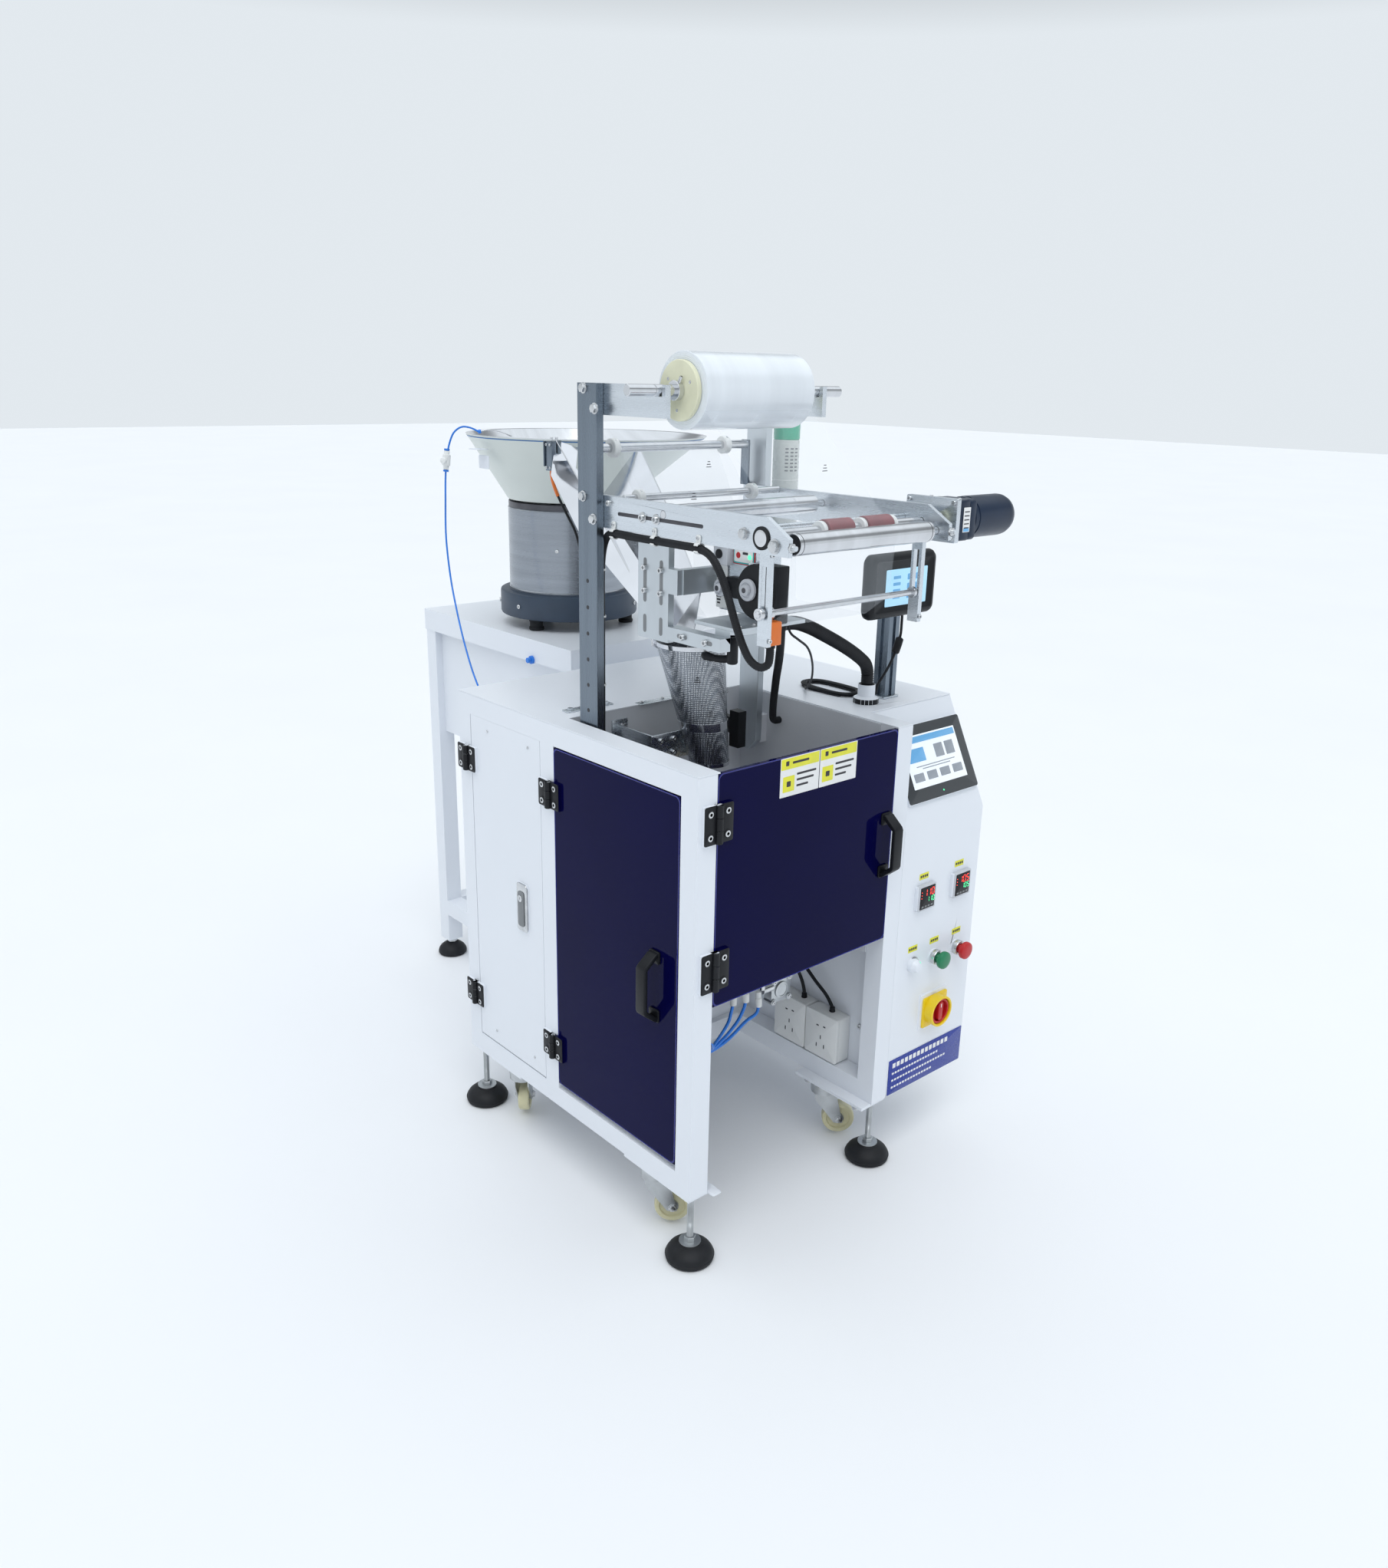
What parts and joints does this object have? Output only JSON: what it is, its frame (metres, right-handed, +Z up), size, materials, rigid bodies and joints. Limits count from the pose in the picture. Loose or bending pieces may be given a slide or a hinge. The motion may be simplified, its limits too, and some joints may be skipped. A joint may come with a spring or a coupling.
{
  "type": "vertical form fill sealer",
  "caption": "Vertical form fill sealer with a white cabinet, blue guards, overhead film unwind, coder, forming tube and vibratory bowl feeder.",
  "frame": {"origin": "on the floor under the middle of the footprint of the whole machine, feeder table included", "axes": "+X right along the cabinet front, +Y from the front to the back, +Z up"},
  "size_m": [0.845, 1.488, 1.519],
  "materials": {
    "white_powder_coat": "satin powder coat",
    "bright_steel": "milled and brushed",
    "zinc_plate": "zinc plated",
    "polished_rod": "ground and polished",
    "black_plastic": "moulded",
    "black_rubber": "moulded rubber",
    "blue_acrylic": "tinted acrylic sheet",
    "cream_plastic": "cast nylon",
    "film": "clear packaging film",
    "red_rubber": "cast rubber sleeves",
    "navy_paint": "enamelled",
    "slate_paint": "hammer-free satin paint",
    "cream_paint": "sprayed rubberised coating",
    "tower_plastic": "moulded",
    "green_plastic": "moulded",
    "red_plastic": "moulded",
    "grey_plastic": "moulded",
    "seal_bronze": "machined",
    "air_blue": "polyurethane tube"
  },
  "bodies": {
    "machine": {"air_tube": "air_blue", "cabinet_frame": "white_powder_coat", "chute": "bright_steel", "coder_body": "bright_steel", "coder_hose": "black_rubber", "coder_lead": "black_rubber", "coder_mount": "bright_steel", "compartment_liner": "white_powder_coat", "control_box": "white_powder_coat", "drop_conduit": "black_rubber", "feeder_base": "slate_paint", "forming_tube": "bright_steel", "gearmotor": "navy_paint", "lead_coil": "black_rubber", "levelling_foot_front_left": "black_rubber", "levelling_foot_front_right": "black_rubber", "levelling_foot_rear_left": "black_rubber", "levelling_foot_rear_right": "black_rubber", "roll_bracket_left": "bright_steel", "roll_bracket_right": "bright_steel", "sensor_conduit": "black_rubber", "side_plate_left": "bright_steel", "side_plate_right": "bright_steel", "signal_tower": "tower_plastic", "table_frame": "white_powder_coat", "tablet": "black_plastic", "tablet_cable": "black_rubber", "top_deck": "white_powder_coat", "top_guide_rod": "polished_rod", "upper_guide_rod": "polished_rod", "upright_left": "bright_steel", "upright_right": "bright_steel"},
    "guard": {"front_guard": "blue_acrylic", "front_handle": "black_plastic"},
    "side_door_leaf": {"side_door": "blue_acrylic", "side_handle": "black_plastic"},
    "service_door_leaf": {"service_door": "white_powder_coat"},
    "lock_paddle": {"door_lock": "grey_plastic"},
    "roll": {"roll_shaft": "cream_plastic", "film_roll": "film"},
    "large_roller": {"large_roller": "polished_rod"},
    "drive_roll": {"drive_roll": "red_rubber"},
    "front_roller": {"front_roller": "polished_rod"},
    "dancer": {"dancer_bar": "polished_rod"},
    "lever": {"clamp_lever": "black_plastic"},
    "start": {"start_button": "green_plastic"},
    "stop": {"stop_button": "red_plastic"},
    "isolator": {"isolator_knob": "red_plastic"},
    "front_jaw": {"jaw_front": "seal_bronze"},
    "rear_jaw": {"jaw_rear": "seal_bronze"},
    "seal_arm": {"vertical_sealer": "black_plastic"},
    "bowl": {"feeder_bowl": "cream_paint"},
    "fork_front_left": {"caster_fork_front_left": "zinc_plate"},
    "wheel_front_left": {"caster_wheel_front_left": "cream_plastic"},
    "fork_front_right": {"caster_fork_front_right": "zinc_plate"},
    "wheel_front_right": {"caster_wheel_front_right": "cream_plastic"},
    "fork_rear_left": {"caster_fork_rear_left": "zinc_plate"},
    "wheel_rear_left": {"caster_wheel_rear_left": "cream_plastic"},
    "fork_rear_right": {"caster_fork_rear_right": "zinc_plate"},
    "wheel_rear_right": {"caster_wheel_rear_right": "cream_plastic"}
  },
  "joints": [
    {"name": "guard_hinge", "type": "hinge", "parent": "machine", "child": "guard", "pos_m": [-0.348, -0.6325, 0.6885], "axis": [0, 0, -1], "range_deg": [0, 110]},
    {"name": "side_door_hinge", "type": "hinge", "parent": "machine", "child": "side_door_leaf", "pos_m": [-0.394, -0.2315, 0.522], "axis": [0, 0, -1], "range_deg": [0, 110]},
    {"name": "service_door_hinge", "type": "hinge", "parent": "machine", "child": "service_door_leaf", "pos_m": [-0.394, 0.0435, 0.519], "axis": [0, 0, -1], "range_deg": [0, 110]},
    {"name": "lock_hinge", "type": "hinge", "parent": "service_door_leaf", "child": "lock_paddle", "pos_m": [-0.3935, -0.1355, 0.56], "axis": [0, 1, 0], "range_deg": [0, 35]},
    {"name": "drive_roll_spin", "type": "hinge", "parent": "machine", "child": "drive_roll", "pos_m": [-0.119, -0.676, 1.265], "axis": [1, 0, 0], "continuous": true},
    {"name": "front_roller_spin", "type": "hinge", "parent": "machine", "child": "front_roller", "pos_m": [-0.1375, -0.7075, 1.2535], "axis": [1, 0, 0], "continuous": true},
    {"name": "large_roller_spin", "type": "hinge", "parent": "machine", "child": "large_roller", "pos_m": [-0.1375, -0.456, 1.275], "axis": [1, 0, 0], "continuous": true},
    {"name": "roll_spin", "type": "hinge", "parent": "machine", "child": "roll", "pos_m": [-0.1555, -0.441, 1.46], "axis": [1, 0, 0], "continuous": true},
    {"name": "dancer_slide", "type": "slide", "parent": "machine", "child": "dancer", "axis": [0, 0, 1], "range_m": [0, 0.062]},
    {"name": "lever_turn", "type": "hinge", "parent": "machine", "child": "lever", "pos_m": [-0.2675, -0.565, 1.08], "axis": [0, 0, 1], "range_deg": [-60, 40]},
    {"name": "start_press", "type": "slide", "parent": "machine", "child": "start", "axis": [0, 1, 0], "range_m": [0, 0.006], "stiffness_N_per_m": 600},
    {"name": "stop_press", "type": "slide", "parent": "machine", "child": "stop", "axis": [0, 1, 0], "range_m": [0, 0.006], "stiffness_N_per_m": 600},
    {"name": "isolator_turn", "type": "hinge", "parent": "machine", "child": "isolator", "pos_m": [0.2475, -0.626, 0.294], "axis": [0, 1, 0], "range_deg": [0, 90]},
    {"name": "front_jaw_slide", "type": "slide", "parent": "machine", "child": "front_jaw", "axis": [0, 1, 0], "range_m": [0, 0.03]},
    {"name": "rear_jaw_slide", "type": "slide", "parent": "machine", "child": "rear_jaw", "axis": [0, -1, 0], "range_m": [0, 0.03]},
    {"name": "seal_arm_turn", "type": "hinge", "parent": "machine", "child": "seal_arm", "pos_m": [-0.0355, -0.24, 0.865], "axis": [0, 0, -1], "range_deg": [0, 8]},
    {"name": "bowl_shake", "type": "hinge", "parent": "machine", "child": "bowl", "pos_m": [0.1165, 0.408, 1.209], "axis": [0, 0, 1], "range_deg": [-0.3, 0.3], "stiffness_Nm_per_rad": 2000},
    {"name": "swivel_front_left", "type": "hinge", "parent": "machine", "child": "fork_front_left", "pos_m": [-0.3525, -0.491, 0.11], "axis": [0, 0, 1], "continuous": true},
    {"name": "spin_front_left", "type": "hinge", "parent": "fork_front_left", "child": "wheel_front_left", "pos_m": [-0.32835, -0.51199, 0.0415], "axis": [0.6561, 0.7547, 0], "continuous": true},
    {"name": "swivel_front_right", "type": "hinge", "parent": "machine", "child": "fork_front_right", "pos_m": [0.0925, -0.491, 0.11], "axis": [0, 0, 1], "continuous": true},
    {"name": "spin_front_right", "type": "hinge", "parent": "fork_front_right", "child": "wheel_front_right", "pos_m": [0.11665, -0.51199, 0.0415], "axis": [0.6561, 0.7547, 0], "continuous": true},
    {"name": "swivel_rear_left", "type": "hinge", "parent": "machine", "child": "fork_rear_left", "pos_m": [-0.3525, -0.061, 0.11], "axis": [0, 0, 1], "continuous": true},
    {"name": "spin_rear_left", "type": "hinge", "parent": "fork_rear_left", "child": "wheel_rear_left", "pos_m": [-0.33109, -0.03722, 0.0415], "axis": [-0.7431, 0.6691, 0], "continuous": true},
    {"name": "swivel_rear_right", "type": "hinge", "parent": "machine", "child": "fork_rear_right", "pos_m": [0.0925, -0.061, 0.11], "axis": [0, 0, 1], "continuous": true},
    {"name": "spin_rear_right", "type": "hinge", "parent": "fork_rear_right", "child": "wheel_rear_right", "pos_m": [0.06243, -0.07194, 0.0415], "axis": [0.342, -0.9397, 0], "continuous": true}
  ],
  "couplings": [
    {"joint": "front_roller_spin", "follows": "drive_roll_spin", "ratio": -1},
    {"joint": "large_roller_spin", "follows": "drive_roll_spin", "ratio": -1.1},
    {"joint": "roll_spin", "follows": "drive_roll_spin", "ratio": 0.28},
    {"joint": "rear_jaw_slide", "follows": "front_jaw_slide", "ratio": 1}
  ]
}
